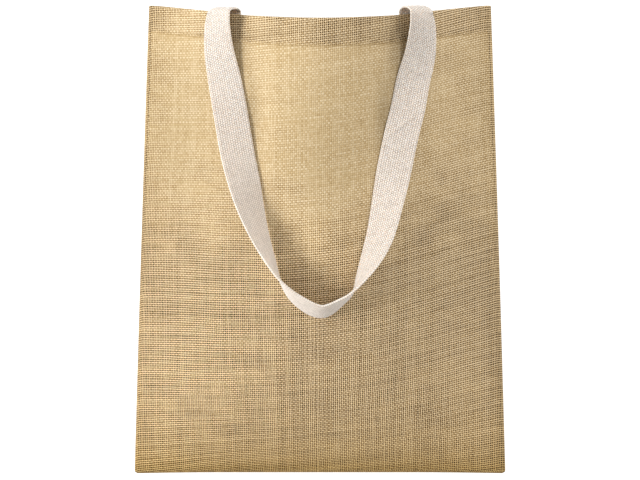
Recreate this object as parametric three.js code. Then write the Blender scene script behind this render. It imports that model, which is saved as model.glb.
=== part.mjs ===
import * as THREE from "three";

// A jute tote bag with two webbing handles, lying on its back. Millimetres, +Z up.
// X runs across the bag, +Y points to its open mouth, and z = 0 is the surface that it lies on.
// The front panel is domed. The back panel lies flat, and its sides and bottom rise to the seams.

// Outline of the sewn bag, seen from above its face
const HALF_LENGTH = 211.4;
const BOTTOM_HALF_WIDTH = 168.3;
const MOUTH_HALF_WIDTH = 154;
const CORNER_RADIUS = 3;

// Height of the seams over the surface
const CORNER_SEAM_HEIGHT = 32;
const SIDE_SEAM = { atMouth: 46, ease: 2.2 };
const BOTTOM_SEAM = { inMiddle: 24, levelShare: 0.55, ease: 1.5, fade: 50 };
const SEAM_GAP = 0.56;
const SEAM_MITRE = 1.12;

// Cloth
const CLOTH = 1.6;
const HEM_DEPTH = 25;
const HEM_THICKNESS = 3;
const HEM_RIDGE = 0.6;
const HEM_STEP = 1.4;
const HEM_NOSE = 1.3;
const HEM_THINNING = 8;
const NOSE_INSET = 0.28;
const EDGE_ROLL = { height: 3, reach: 1.5 };

// Dome of the front panel over its seams
const DOME = { rise: 70, length: 195, steepness: 1.4, extraAtMouth: 5 };
const DOME_CHANGE = { from: -20, to: 160, bellShare: 0.65 };

// Mouth edges: the middle of each edge dips below its corners
const FRONT_DIP = { depth: 19.2, ease: 1.3 };
const BACK_DIP = 11.5;

// Back panel: where its sides and its bottom end start to rise
const FLANK = { start: 0.68, power: 1.3, edgeShare: 0.06 };
const HEEL = { length: 70, power: 1.4, edgeShare: 0.08 };

// Soft unevenness of the front panel: a row for each shallow hollow (negative) or swelling (positive)
const FRONT_SWELLS = [
  { x: -96, y: -128, alongX: 34, alongY: 44, height: 1.6 },
  { x: 88, y: -20, alongX: 24, alongY: 60, height: -1.8 },
  { x: 10, y: -96, alongX: 60, alongY: 20, height: 1.2 },
  { x: -118, y: 60, alongX: 20, alongY: 60, height: -1.4 },
  { x: 30, y: 70, alongX: 26, alongY: 50, height: -1.2 },
  { x: 112, y: -150, alongX: 28, alongY: 24, height: 1.5 },
];

// Webbing
const WEBBING_WIDTH = 30;
const WEBBING = 1.6;
const WEBBING_CHAMFER = 0.4;
const SEWN_LENGTH = 21;
const CONTACT_GAP = 0.6;
const LYING_GAP = 0.7;
const EDGE_CLEARANCE = 2;
const MOUTH_APPROACH = { from: 60, to: 20 };
const SEWN_END_RISE = 30;
const SEWN_SHARES = [1, 0.75, 0.5, 0.25, 0];
const SEWN_INSET = 1;
const CURL_START = 0.6;

// Steps of the webbing
const STATIONS_PER_ROW = 3;
const CURL_STATIONS = 12;
const RESTING_STEPS = 12;
const EVENING_SPREAD = 2;

// Where the stiff webbing is sewn in, it flattens the slope of the front hem
const FRONT_SEAT = { x: 84, slope: 0.3, alongX: 24, alongY: 40 };

// The front handle, from the left end of its loop to the right one. x and y are the middle of the webbing.
// tilt is the turn of its face in degrees: above 0 the edge next to the middle of the bag is higher,
// below 0 the outer edge is higher, and at -90 the webbing stands on its edge.
const FRONT_ROUTE = [
  { x: -90, y: 199, tilt: 43 },
  { x: -90.3, y: 186, tilt: 39 },
  { x: -88.6, y: 165, tilt: 28 },
  { x: -83.5, y: 140, tilt: 13 },
  { x: -78.5, y: 113, tilt: 0 },
  { x: -72.5, y: 79, tilt: -10 },
  { x: -66, y: 51, tilt: -24 },
  { x: -59, y: 25, tilt: -43 },
  { x: -51.5, y: 3, tilt: -60 },
  { x: -42.5, y: -18, tilt: -76 },
  { x: -34, y: -35, tilt: -92 },
  { x: -20, y: -51, tilt: -108 },
  { x: 1, y: -61.5, tilt: -112 },
  { x: 20, y: -52, tilt: -100 },
  { x: 29, y: -43.5, tilt: -91 },
  { x: 36, y: -31, tilt: -74 },
  { x: 45.5, y: -12, tilt: -52 },
  { x: 52.5, y: 7, tilt: -39 },
  { x: 58.5, y: 33, tilt: -27 },
  { x: 64.5, y: 62, tilt: -9 },
  { x: 71, y: 92, tilt: 0 },
  { x: 77, y: 116, tilt: 1 },
  { x: 82, y: 141, tilt: 11 },
  { x: 88, y: 163, tilt: 24 },
  { x: 90.4, y: 185, tilt: 37 },
  { x: 90.2, y: 199, tilt: 45 },
];

// The back handle has dropped into the bag and lies on the back panel
const BACK_ROUTE = [
  { x: -86, y: 198, tilt: 6 },
  { x: -86, y: 184, tilt: 4 },
  { x: -84, y: 158, tilt: 0 },
  { x: -80, y: 128, tilt: -2 },
  { x: -74, y: 98, tilt: -7 },
  { x: -67, y: 70, tilt: -17 },
  { x: -58, y: 42, tilt: -36 },
  { x: -48, y: 17, tilt: -58 },
  { x: -36, y: -6, tilt: -78 },
  { x: -23, y: -26, tilt: -95 },
  { x: -5, y: -44, tilt: -110 },
  { x: 14, y: -49, tilt: -113 },
  { x: 32, y: -36, tilt: -105 },
  { x: 45, y: -13, tilt: -88 },
  { x: 54, y: 12, tilt: -67 },
  { x: 63, y: 40, tilt: -42 },
  { x: 71, y: 68, tilt: -20 },
  { x: 77, y: 98, tilt: -8 },
  { x: 82, y: 128, tilt: -2 },
  { x: 85, y: 158, tilt: 0 },
  { x: 85.5, y: 184, tilt: 3 },
  { x: 86, y: 198, tilt: 5 },
];

const FRONT_ENDS = { x: 84, tilt: 15, reach: { left: 5.4, right: 6.6 } };
const BACK_ENDS = { x: 85, tilt: 0, reach: { left: 5, right: 5.6 } };

// Steps of the panels' grids
const COLUMNS = 36;
const BODY_ROWS = 26;
const SLOPE_STEP = 0.4;

const { clamp, smoothstep, lerp, degToRad, radToDeg } = THREE.MathUtils;

// How far a point is from the bottom seam, along Y
const fromBottom = (y) => y + HALF_LENGTH;

function halfWidth(y) {
  const straight = lerp(BOTTOM_HALF_WIDTH, MOUTH_HALF_WIDTH, fromBottom(y) / (2 * HALF_LENGTH));
  const short = Math.max(0, CORNER_RADIUS - fromBottom(y));
  return straight - (CORNER_RADIUS - Math.sqrt(CORNER_RADIUS ** 2 - Math.min(short, CORNER_RADIUS) ** 2));
}

function sideSeamHeight(y) {
  const share = clamp(fromBottom(y) / (2 * HALF_LENGTH), 0, 1);
  return lerp(CORNER_SEAM_HEIGHT, SIDE_SEAM.atMouth, 1 - (1 - share) ** SIDE_SEAM.ease);
}

function bottomSeamHeight(x) {
  const past = Math.abs(x) / BOTTOM_HALF_WIDTH - BOTTOM_SEAM.levelShare;
  const share = clamp(past / (1 - BOTTOM_SEAM.levelShare), 0, 1);
  return lerp(BOTTOM_SEAM.inMiddle, CORNER_SEAM_HEIGHT, share ** BOTTOM_SEAM.ease);
}

// Height of the smooth sheet that the side seams and the bottom seam span
function seamHeight(x, y) {
  const drop = bottomSeamHeight(x) - CORNER_SEAM_HEIGHT;
  return sideSeamHeight(y) + drop * Math.exp(-fromBottom(y) / BOTTOM_SEAM.fade);
}

function domeRise(y) {
  const near = Math.min(1, fromBottom(y) / DOME.length);
  const past = clamp((fromBottom(y) - DOME.length) / (2 * HALF_LENGTH - DOME.length), 0, 1);
  return DOME.rise * (1 - (1 - near) ** DOME.steepness) + DOME.extraAtMouth * past;
}

// Shape of the dome across the bag: 1 in the middle and 0 at the seam, steep next to the seam in the
// lower half, and with flat wings and a flat crown at the mouth
function domeSection(share, y) {
  const arch = Math.cos((Math.PI * share) / 2);
  const bell = 0.5 + 0.5 * Math.cos(Math.PI * share);
  const bellShare = DOME_CHANGE.bellShare * smoothstep(y, DOME_CHANGE.from, DOME_CHANGE.to);
  return lerp(arch, bell, bellShare);
}

// The mouth edges of the two panels, as a Y for each x
function frontMouth(x) {
  const share = clamp(Math.abs(x) / MOUTH_HALF_WIDTH, 0, 1);
  return HALF_LENGTH - FRONT_DIP.depth * Math.cos((Math.PI * share) / 2) ** FRONT_DIP.ease;
}

function flank(share) {
  return clamp((share - FLANK.start) / (1 - FLANK.start), 0, 1) ** FLANK.power;
}

function backMouth(x) {
  return HALF_LENGTH - BACK_DIP * (1 - flank(Math.abs(x) / MOUTH_HALF_WIDTH));
}

// 0 in the body of a panel and 1 in its hem
function hemShare(toMouth) {
  return 1 - smoothstep(toMouth, HEM_DEPTH - HEM_STEP, HEM_DEPTH);
}

// 0 at the side and bottom seams, and 1 a few millimetres inside them
function rollShare(x, y) {
  const side = Math.max(0, halfWidth(y) - Math.abs(x));
  const bottom = Math.max(0, fromBottom(y));
  return (1 - Math.exp(-side / EDGE_ROLL.reach)) * (1 - Math.exp(-bottom / EDGE_ROLL.reach));
}

function swells(x, y) {
  const one = (s) => s.height * Math.exp(-(((x - s.x) / s.alongX) ** 2) - ((y - s.y) / s.alongY) ** 2);
  return FRONT_SWELLS.reduce((sum, s) => sum + one(s), 0);
}

function seatFlattening(x, y) {
  const inward = FRONT_SEAT.x - Math.abs(x);
  const toMouth = frontMouth(x) - y;
  const near = Math.exp(-((inward / FRONT_SEAT.alongX) ** 2) - (toMouth / FRONT_SEAT.alongY) ** 2);
  return -FRONT_SEAT.slope * inward * near;
}

// Outer face of the front panel
function frontFace(x, y) {
  const share = clamp(Math.abs(x) / halfWidth(y), 0, 1);
  const inside = rollShare(x, y);
  const dome = domeRise(y) * domeSection(share, y);
  const relief = HEM_RIDGE * hemShare(frontMouth(x) - y) + swells(x, y) + seatFlattening(x, y);
  return seamHeight(x, y) + EDGE_ROLL.height * inside + dome + relief * inside;
}

// Outer face of the back panel, which is its underside
function backFace(x, y) {
  const side = Math.max(0, halfWidth(y) - Math.abs(x));
  const bottom = Math.max(0, fromBottom(y));
  const sideRise = lerp(flank(1 - side / halfWidth(y)), Math.exp(-side / EDGE_ROLL.reach), FLANK.edgeShare);
  const slope = clamp(1 - bottom / HEEL.length, 0, 1) ** HEEL.power;
  const endRise = lerp(slope, Math.exp(-bottom / EDGE_ROLL.reach), HEEL.edgeShare);
  const sides = sideRise * sideSeamHeight(y);
  return sides + endRise * bottomSeamHeight(x) - sideRise * endRise * CORNER_SEAM_HEIGHT;
}

// Thickness of a panel: the hem is turned in and sewn, and thins towards the side seams
function panelThickness(x, y, toMouth) {
  const side = Math.max(0, halfWidth(y) - Math.abs(x));
  return lerp(CLOTH, HEM_THICKNESS, hemShare(toMouth) * smoothstep(side, 0, HEM_THINNING));
}

// Upward normal of a face given as a height for each x and y
function faceNormal(face, x, y) {
  const slopeX = (face(x + SLOPE_STEP, y) - face(x - SLOPE_STEP, y)) / (2 * SLOPE_STEP);
  const slopeY = (face(x, y + SLOPE_STEP) - face(x, y - SLOPE_STEP)) / (2 * SLOPE_STEP);
  return new THREE.Vector3(-slopeX, -slopeY, 1).normalize();
}

// Height of the inner face of a panel, straight below or above its outer face
function innerFace(face, mouth, side) {
  return (x, y) => {
    const vertical = panelThickness(x, y, mouth(x) - y) / faceNormal(face, x, y).z;
    return face(x, y) + side * vertical;
  };
}

// A closed solid from sections with equal numbers of points, each one loop. The two ends are zipped shut:
// the first half of a loop faces the second half in reverse.
function loftedGeometry(sections) {
  const size = sections[0].length;
  const index = [];
  const at = (row, k) => row * size + (k % size);
  for (let row = 0; row + 1 < sections.length; row += 1) {
    for (let k = 0; k < size; k += 1) {
      index.push(at(row, k), at(row, k + 1), at(row + 1, k + 1));
      index.push(at(row, k), at(row + 1, k + 1), at(row + 1, k));
    }
  }
  const last = sections.length - 1;
  for (let k = 0; k < size / 2 - 1; k += 1) {
    const far = size - 1 - k;
    index.push(at(0, k), at(0, far), at(0, far - 1));
    index.push(at(0, k), at(0, far - 1), at(0, k + 1));
    index.push(at(last, k), at(last, far - 1), at(last, far));
    index.push(at(last, k), at(last, k + 1), at(last, far - 1));
  }
  const geometry = new THREE.BufferGeometry().setFromPoints(sections.flat());
  geometry.setIndex(signedVolume(geometry, index) < 0 ? index.reverse() : index);
  geometry.computeVertexNormals();
  return geometry;
}

function signedVolume(geometry, index) {
  const place = geometry.getAttribute("position");
  const [a, b, c] = [new THREE.Vector3(), new THREE.Vector3(), new THREE.Vector3()];
  let sum = 0;
  for (let k = 0; k < index.length; k += 3) {
    a.fromBufferAttribute(place, index[k]);
    b.fromBufferAttribute(place, index[k + 1]);
    c.fromBufferAttribute(place, index[k + 2]);
    sum += a.dot(b.cross(c)) / 6;
  }
  return sum;
}

// Shares of the half width where the columns stand, closer together next to the seams
function columnShares() {
  const even = Array.from({ length: COLUMNS + 1 }, (_, k) => (2 * k) / COLUMNS - 1);
  return even.map((share) => Math.sin((Math.PI * share) / 2));
}

// The rows of a panel: each says how far it is from the bottom seam to the hem, or from the mouth
function panelRows() {
  const body = Array.from({ length: BODY_ROWS }, (_, k) => ({
    up: 1 - Math.cos((Math.PI * k) / (2 * BODY_ROWS)),
  }));
  const hem = [HEM_DEPTH, HEM_DEPTH - HEM_STEP, HEM_DEPTH / 2, HEM_NOSE, 0].map((toMouth) => ({ toMouth }));
  return [...body, ...hem];
}

// One panel as a solid. side is -1 where the cloth lies under the given face and +1 where it lies over it.
function panelGeometry(face, mouth, side) {
  const shares = columnShares();
  const seamLevel = (x, y) => seamHeight(x, y) - (side * SEAM_GAP) / 2;
  const sections = panelRows().map((row) => {
    const outside = [];
    const inside = [];
    shares.forEach((share, column) => {
      const mouthY = mouth(share * MOUTH_HALF_WIDTH);
      const isHem = row.up === undefined;
      const y = isHem ? mouthY - row.toMouth : lerp(-HALF_LENGTH, mouthY - HEM_DEPTH, row.up);
      const x = share * halfWidth(y);
      const atSide = column === 0 || column === COLUMNS;
      const atBottom = row.up === 0;
      const thickness = panelThickness(x, y, mouthY - y);

      if (atSide || atBottom) {
        const mitre = thickness * SEAM_MITRE;
        const innerX = x - (atSide ? Math.sign(share) * mitre : 0);
        const innerY = y + (atBottom ? mitre : 0);
        outside.push(new THREE.Vector3(x, y, seamLevel(x, y)));
        inside.push(new THREE.Vector3(innerX, innerY, seamLevel(innerX, innerY)));
        return;
      }
      const normal = faceNormal(face, x, y).multiplyScalar(side);
      const blunt = row.toMouth === 0 ? thickness * NOSE_INSET : 0;
      const outer = new THREE.Vector3(x, y, face(x, y)).addScaledVector(normal, blunt);
      const inner = outer.clone().addScaledVector(normal, thickness - 2 * blunt);
      const limit = seamLevel(inner.x, inner.y);
      inner.z = side < 0 ? Math.max(inner.z, limit) : Math.min(inner.z, limit);
      outside.push(outer);
      inside.push(inner);
    });
    return [...outside, ...inside.reverse()];
  });
  return loftedGeometry(sections);
}

// Height at which a straight line across the webbing just rests on, or hangs under, a face
function restingHeight(face, middle, across, side, gap) {
  let height = -side * Infinity;
  for (let k = 0; k <= RESTING_STEPS; k += 1) {
    const w = WEBBING_WIDTH * (k / RESTING_STEPS - 0.5);
    const level = face(middle.x + w * across.x, middle.y + w * across.y) - w * across.z;
    height = side > 0 ? Math.max(height, level) : Math.min(height, level);
  }
  return height + side * (gap + WEBBING / 2);
}

// Direction from the middle of the webbing to its outer edge, for a level direction outward and a tilt
function acrossDirection(outward, tilt) {
  const turn = degToRad(tilt);
  const level = outward.clone().setZ(0).normalize();
  return level.multiplyScalar(Math.cos(turn)).add(new THREE.Vector3(0, 0, -Math.sin(turn)));
}

// Stations of the loop of a handle: each has a middle, and a direction across
function loopStations(route, rest, mouth) {
  const curve = new THREE.CatmullRomCurve3(
    route.map((row) => new THREE.Vector3(row.x, row.y, row.tilt)),
    false,
    "catmullrom",
    0.5,
  );
  const count = (route.length - 1) * STATIONS_PER_ROW;
  const stations = Array.from({ length: count + 1 }, (_, k) => {
    const here = curve.getPoint(k / count);
    const run = curve.getTangent(k / count);
    const across = acrossDirection(new THREE.Vector3(run.y, -run.x, 0), here.z);
    const toMouth = mouth(here.x) - here.y;
    const nearMouth = 1 - smoothstep(toMouth, MOUTH_APPROACH.to, MOUTH_APPROACH.from);
    const gap = lerp(LYING_GAP, EDGE_CLEARANCE, nearMouth);
    const middle = new THREE.Vector3(here.x, here.y, 0);
    middle.z = restingHeight(rest, middle, across, 1, gap);
    return { middle, across };
  });
  return smoothed(stations);
}

// Evens out the heights, and never lets a station sink below where it rests
function smoothed(stations) {
  const heights = stations.map((s) => s.middle.z);
  stations.forEach((station, k) => {
    const near = heights.slice(Math.max(0, k - EVENING_SPREAD), k + EVENING_SPREAD + 1);
    const mean = near.reduce((sum, z) => sum + z, 0) / near.length;
    station.middle.z = Math.max(heights[k], mean);
  });
  return stations;
}

// One end of a handle: sewn flat to the hem, then out of the mouth and round in a curl to the loop's first
// station. sideways is -1 for the left end and +1 for the right end.
function endStations(ends, sewnFace, sewnSide, mouth, sideways, first) {
  const x = sideways * ends.x;
  const edge = mouth(x);
  const outward = new THREE.Vector3(sideways, 0, 0);
  const sewn = SEWN_SHARES.map((share) => {
    const middle = new THREE.Vector3(x, edge - SEWN_INSET - share * SEWN_LENGTH, 0);
    const across = acrossDirection(outward, ends.tilt);
    middle.z = restingHeight(sewnFace, middle, across, sewnSide, CONTACT_GAP);
    return { middle, across };
  });
  const start = sewn.pop();
  start.middle.y = edge + CURL_START;
  const reach = sideways < 0 ? ends.reach.left : ends.reach.right;
  const firstTilt = radToDeg(Math.asin(-first.across.z));
  const curl = Array.from({ length: CURL_STATIONS }, (_, k) => {
    const turn = (Math.PI * k) / CURL_STATIONS;
    const done = (1 - Math.cos(turn)) / 2;
    const middle = start.middle.clone().lerp(first.middle, done);
    middle.y += reach * Math.sin(turn);
    return { middle, across: acrossDirection(outward, lerp(ends.tilt, firstTilt, done)) };
  });
  return [...sewn, ...curl];
}

// A section of the webbing with blunt edges
function webbingSection({ middle, across }, run) {
  const up = new THREE.Vector3().crossVectors(across, run).normalize();
  const half = WEBBING_WIDTH / 2;
  const slim = WEBBING / 2 - WEBBING_CHAMFER;
  const corners = [
    [half, -slim],
    [half, slim],
    [half - WEBBING_CHAMFER, WEBBING / 2],
    [WEBBING_CHAMFER - half, WEBBING / 2],
    [-half, slim],
    [-half, -slim],
    [WEBBING_CHAMFER - half, -WEBBING / 2],
    [half - WEBBING_CHAMFER, -WEBBING / 2],
  ];
  return corners.map(([w, h]) => middle.clone().addScaledVector(across, w).addScaledVector(up, h));
}

function handleGeometry({ route, ends, sewnFace, sewnSide, rest, mouth }) {
  const loop = loopStations(route, rest, mouth);
  const left = endStations(ends, sewnFace, sewnSide, mouth, -1, loop[0]);
  const right = endStations(ends, sewnFace, sewnSide, mouth, 1, loop[loop.length - 1]);
  const stations = [...left, ...loop, ...right.reverse()];
  const sections = stations.map((station, k) => {
    const before = stations[Math.max(0, k - 1)].middle;
    const after = stations[Math.min(stations.length - 1, k + 1)].middle;
    return webbingSection(station, after.clone().sub(before).normalize());
  });
  return loftedGeometry(sections);
}

// The back handle lies over its own sewn ends near the mouth
function restOnBack(x, y) {
  const inner = innerFace(backFace, backMouth, 1);
  const sewnEnd = backMouth(x) - SEWN_LENGTH;
  const over = smoothstep(y, sewnEnd - SEWN_END_RISE, sewnEnd);
  const under = Math.min(y, backMouth(x) - HEM_NOSE);
  return inner(x, under) + over * (WEBBING + CONTACT_GAP);
}

function restOnFront(x, y) {
  return frontFace(x, Math.min(y, frontMouth(x) - HEM_NOSE));
}

function piece(name, geometry, material) {
  const mesh = new THREE.Mesh(geometry, material);
  mesh.name = name;
  return mesh;
}

const jute = { roughness: 0.95, metalness: 0 };
const cotton = { roughness: 0.85, metalness: 0 };

const bag = new THREE.Group();
bag.name = "jute_tote_bag";
bag.add(
  piece(
    "front_panel",
    panelGeometry(frontFace, frontMouth, -1),
    new THREE.MeshStandardMaterial({ color: 0xcdb083, ...jute }),
  ),
  piece(
    "back_panel",
    panelGeometry(backFace, backMouth, 1),
    new THREE.MeshStandardMaterial({ color: 0xc4a67a, ...jute }),
  ),
  piece(
    "front_handle",
    handleGeometry({
      route: FRONT_ROUTE,
      ends: FRONT_ENDS,
      sewnFace: innerFace(frontFace, frontMouth, -1),
      sewnSide: -1,
      rest: restOnFront,
      mouth: frontMouth,
    }),
    new THREE.MeshStandardMaterial({ color: 0xe9dfd2, ...cotton }),
  ),
  piece(
    "back_handle",
    handleGeometry({
      route: BACK_ROUTE,
      ends: BACK_ENDS,
      sewnFace: innerFace(backFace, backMouth, 1),
      sewnSide: 1,
      rest: restOnBack,
      mouth: backMouth,
    }),
    new THREE.MeshStandardMaterial({ color: 0xe4d9ca, ...cotton }),
  ),
);

export default bag;
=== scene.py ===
"""The looks of a jute tote bag that lies on its back, with two cotton webbing handles.

Shapes are worked out in millimetres on numpy grids, as the solids are, and become meshes in metres.
X runs across the bag, +Y points to its mouth and z = 0 is the surface that it lies on.
"""

import bpy
import numpy as np
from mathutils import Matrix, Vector


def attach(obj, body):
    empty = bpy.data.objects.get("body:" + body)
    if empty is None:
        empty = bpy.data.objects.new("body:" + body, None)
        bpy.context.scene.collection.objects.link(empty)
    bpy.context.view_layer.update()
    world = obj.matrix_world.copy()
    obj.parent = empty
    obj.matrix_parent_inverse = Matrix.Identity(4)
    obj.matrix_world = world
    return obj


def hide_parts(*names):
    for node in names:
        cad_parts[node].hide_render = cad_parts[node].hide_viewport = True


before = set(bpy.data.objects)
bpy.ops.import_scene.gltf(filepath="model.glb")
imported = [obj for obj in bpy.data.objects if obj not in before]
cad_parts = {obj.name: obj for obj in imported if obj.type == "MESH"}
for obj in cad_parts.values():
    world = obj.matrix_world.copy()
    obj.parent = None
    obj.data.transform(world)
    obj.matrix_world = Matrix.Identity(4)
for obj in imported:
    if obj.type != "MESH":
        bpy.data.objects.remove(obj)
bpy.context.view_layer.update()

METRES = 0.001

# Outline of the sewn bag
HALF_LENGTH = 211.4
BOTTOM_HALF_WIDTH = 168.3
MOUTH_HALF_WIDTH = 154
CORNER_RADIUS = 3

# Height of the seams over the surface
CORNER_SEAM_HEIGHT = 32
SIDE_SEAM = {"at_mouth": 46, "ease": 2.2}
BOTTOM_SEAM = {"in_middle": 24, "level_share": 0.55, "ease": 1.5, "fade": 50}
SEAM_GAP = 0.06
SEAM_MITRE = 1.5

# Cloth
CLOTH = 1.5
HEM_DEPTH = 25
HEM_THICKNESS = 3
HEM_RIDGE = 0.6
HEM_STEP = 1.0
HEM_NOSE = 1.5
HEM_THINNING = 8
EDGE_ROLL = {"height": 3, "reach": 1.5}

# Dome of the front panel, dips of the two mouth edges, and where the back panel starts to rise
DOME = {"rise": 70, "length": 195, "steepness": 1.4, "extra_at_mouth": 5}
DOME_CHANGE = {"from": -20, "to": 160, "bell_share": 0.65}
FRONT_DIP = {"depth": 19.2, "ease": 1.3}
BACK_DIP = 11.5
FLANK = {"start": 0.68, "power": 1.3, "edge_share": 0.06}
HEEL = {"length": 70, "power": 1.4, "edge_share": 0.08}
FRONT_SEAT = {"x": 84, "slope": 0.3, "along_x": 24, "along_y": 40}

# Soft unevenness of the front panel: x, y, reach along x, reach along y, height
FRONT_SWELLS = [
    (-96, -128, 34, 44, 1.6),
    (88, -20, 24, 60, -1.8),
    (10, -96, 60, 20, 1.2),
    (-118, 60, 20, 60, -1.4),
    (30, 70, 26, 50, -1.2),
    (112, -150, 28, 24, 1.5),
    (-66, 160, 11, 30, -4.5),
    (-56, 104, 12, 42, -5.5),
    (78, 166, 12, 32, -4.5),
    (69, 112, 14, 44, -5),
]

# Weave of the jute: distance between threads, and how far the wefts slant away from the hem
WARP_PITCH = 1.78
WEFT_PITCH = 1.99
HOLES_TO_EDGE = 4
WEFT_SLANT = np.tan(np.radians(6.5))

# Webbing
WEBBING_WIDTH = 30
WEBBING = 2.2
FLAT_OF_WEBBING = 0.86
BEAD = {"across": 2.0, "along": 2.15}
SEWN_LENGTH = 21
SEWN_INSET = 1
CONTACT_GAP = 0.6
LYING_GAP = 0.5
EDGE_CLEARANCE = 2
MOUTH_APPROACH = {"from": 60, "to": 20}
SEWN_END_RISE = 30
CURL_START = 0.6
CURL_DROOP = 5
CURL_LEAN = 0.2

# Middle of the webbing in x and y, and the tilt of its face in degrees, along each loop from left to right
FRONT_ROUTE = [
    (-89.2, 199, 46),
    (-90.3, 186, 39),
    (-88.6, 165, 28),
    (-83.5, 140, 13),
    (-78.5, 113, 0),
    (-72.5, 79, -10),
    (-66, 51, -24),
    (-59, 25, -43),
    (-51.5, 3, -60),
    (-42.5, -18, -76),
    (-34, -35, -92),
    (-20, -51, -108),
    (1, -61.5, -112),
    (20, -52, -100),
    (29, -43.5, -91),
    (36, -31, -74),
    (45.5, -12, -52),
    (52.5, 7, -39),
    (58.5, 33, -27),
    (64.5, 62, -9),
    (71, 92, 0),
    (77, 116, 1),
    (82, 141, 11),
    (88, 163, 24),
    (90.4, 185, 37),
    (89.2, 199, 47),
]
BACK_ROUTE = [
    (-86, 198, 6),
    (-86, 184, 4),
    (-84, 158, 0),
    (-80, 128, -2),
    (-74, 98, -7),
    (-67, 70, -17),
    (-58, 42, -36),
    (-48, 17, -58),
    (-36, -6, -78),
    (-23, -26, -95),
    (-5, -44, -110),
    (14, -49, -113),
    (32, -36, -105),
    (45, -13, -88),
    (54, 12, -67),
    (63, 40, -42),
    (71, 68, -20),
    (77, 98, -8),
    (82, 128, -2),
    (85, 158, 0),
    (85.5, 184, 3),
    (86, 198, 5),
]
FRONT_ENDS = {"x": 84, "tilt": 15, "reach": {-1: 4.7, 1: 6.1}}
BACK_ENDS = {"x": 85, "tilt": 0, "reach": {-1: 5, 1: 5.6}}


def lerp(a, b, share):
    """A straight mix: a at share 0 and b at share 1."""
    return a + (b - a) * share


def smoothstep(x, low, high):
    """3s^2 - 2s^3 of the share s of the way from low to high."""
    s = np.clip((x - low) / (high - low), 0, 1)
    return s * s * (3 - 2 * s)


def from_bottom(y):
    return y + HALF_LENGTH


def half_width(y):
    """A straight taper from bottom to mouth, less a quarter circle at each bottom corner."""
    straight = lerp(BOTTOM_HALF_WIDTH, MOUTH_HALF_WIDTH, from_bottom(y) / (2 * HALF_LENGTH))
    short = np.clip(CORNER_RADIUS - from_bottom(y), 0, CORNER_RADIUS)
    return straight - (CORNER_RADIUS - np.sqrt(CORNER_RADIUS**2 - short**2))


def side_seam_height(y):
    """Rises from the corner to the mouth and levels out there."""
    share = np.clip(from_bottom(y) / (2 * HALF_LENGTH), 0, 1)
    return lerp(CORNER_SEAM_HEIGHT, SIDE_SEAM["at_mouth"], 1 - (1 - share) ** SIDE_SEAM["ease"])


def bottom_seam_height(x):
    """Level in the middle, and rises to the corners as a power of the share of the way there."""
    past = np.abs(x) / BOTTOM_HALF_WIDTH - BOTTOM_SEAM["level_share"]
    share = np.clip(past / (1 - BOTTOM_SEAM["level_share"]), 0, 1)
    return lerp(BOTTOM_SEAM["in_middle"], CORNER_SEAM_HEIGHT, share ** BOTTOM_SEAM["ease"])


def seam_height(x, y):
    """The sheet that the seams span: as high as the side seams, with the bottom seam's drop fading out."""
    drop = bottom_seam_height(x) - CORNER_SEAM_HEIGHT
    return side_seam_height(y) + drop * np.exp(-from_bottom(y) / BOTTOM_SEAM["fade"])


def dome_rise(y):
    """Steep behind the bottom seam, level from the middle of the bag on."""
    near = np.minimum(1, from_bottom(y) / DOME["length"])
    past = np.clip((from_bottom(y) - DOME["length"]) / (2 * HALF_LENGTH - DOME["length"]), 0, 1)
    return DOME["rise"] * (1 - (1 - near) ** DOME["steepness"]) + DOME["extra_at_mouth"] * past


def dome_section(share, y):
    """A quarter cosine across the bag, which turns towards a full bell curve nearer the mouth."""
    arch = np.cos(np.pi * share / 2)
    bell = 0.5 + 0.5 * np.cos(np.pi * share)
    change = smoothstep(y, DOME_CHANGE["from"], DOME_CHANGE["to"])
    return lerp(arch, bell, DOME_CHANGE["bell_share"] * change)


def front_mouth(x):
    share = np.clip(np.abs(x) / MOUTH_HALF_WIDTH, 0, 1)
    return HALF_LENGTH - FRONT_DIP["depth"] * np.cos(np.pi * share / 2) ** FRONT_DIP["ease"]


def flank(share):
    return np.clip((share - FLANK["start"]) / (1 - FLANK["start"]), 0, 1) ** FLANK["power"]


def back_mouth(x):
    return HALF_LENGTH - BACK_DIP * (1 - flank(np.abs(x) / MOUTH_HALF_WIDTH))


def hem_share(to_mouth):
    """0 in the body of a panel and 1 in its hem."""
    return 1 - smoothstep(to_mouth, HEM_DEPTH - HEM_STEP, HEM_DEPTH)


def to_sides(x, y):
    return np.maximum(0, half_width(y) - np.abs(x))


def roll_share(x, y):
    """0 at the seams, and 1 a few millimetres inside them, as one less a falling exponential."""
    bottom = np.maximum(0, from_bottom(y))
    return (1 - np.exp(-to_sides(x, y) / EDGE_ROLL["reach"])) * (1 - np.exp(-bottom / EDGE_ROLL["reach"]))


def swells(x, y):
    """A sum of round hollows and swellings."""
    total = 0
    for at_x, at_y, along_x, along_y, height in FRONT_SWELLS:
        total = total + height * np.exp(-(((x - at_x) / along_x) ** 2) - ((y - at_y) / along_y) ** 2)
    return total


def seat_flattening(x, y):
    """The stiff webbing flattens the slope of the hem where it is sewn in."""
    inward = FRONT_SEAT["x"] - np.abs(x)
    to_mouth = front_mouth(x) - y
    near = np.exp(-((inward / FRONT_SEAT["along_x"]) ** 2) - (to_mouth / FRONT_SEAT["along_y"]) ** 2)
    return -FRONT_SEAT["slope"] * inward * near


def puckers(x, y):
    """Small drawn-in waves beside the side seams, which die out some 12 mm inside them."""
    along = from_bottom(y)
    wave = np.sin(along / 2.9 + 1.3 * np.sin(along / 13)) * np.sin(along / 31 + np.sign(x))
    near = to_sides(x, y)
    return 0.35 * wave * np.exp(-((near / 9) ** 2)) * smoothstep(near, 0, 2)


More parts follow.
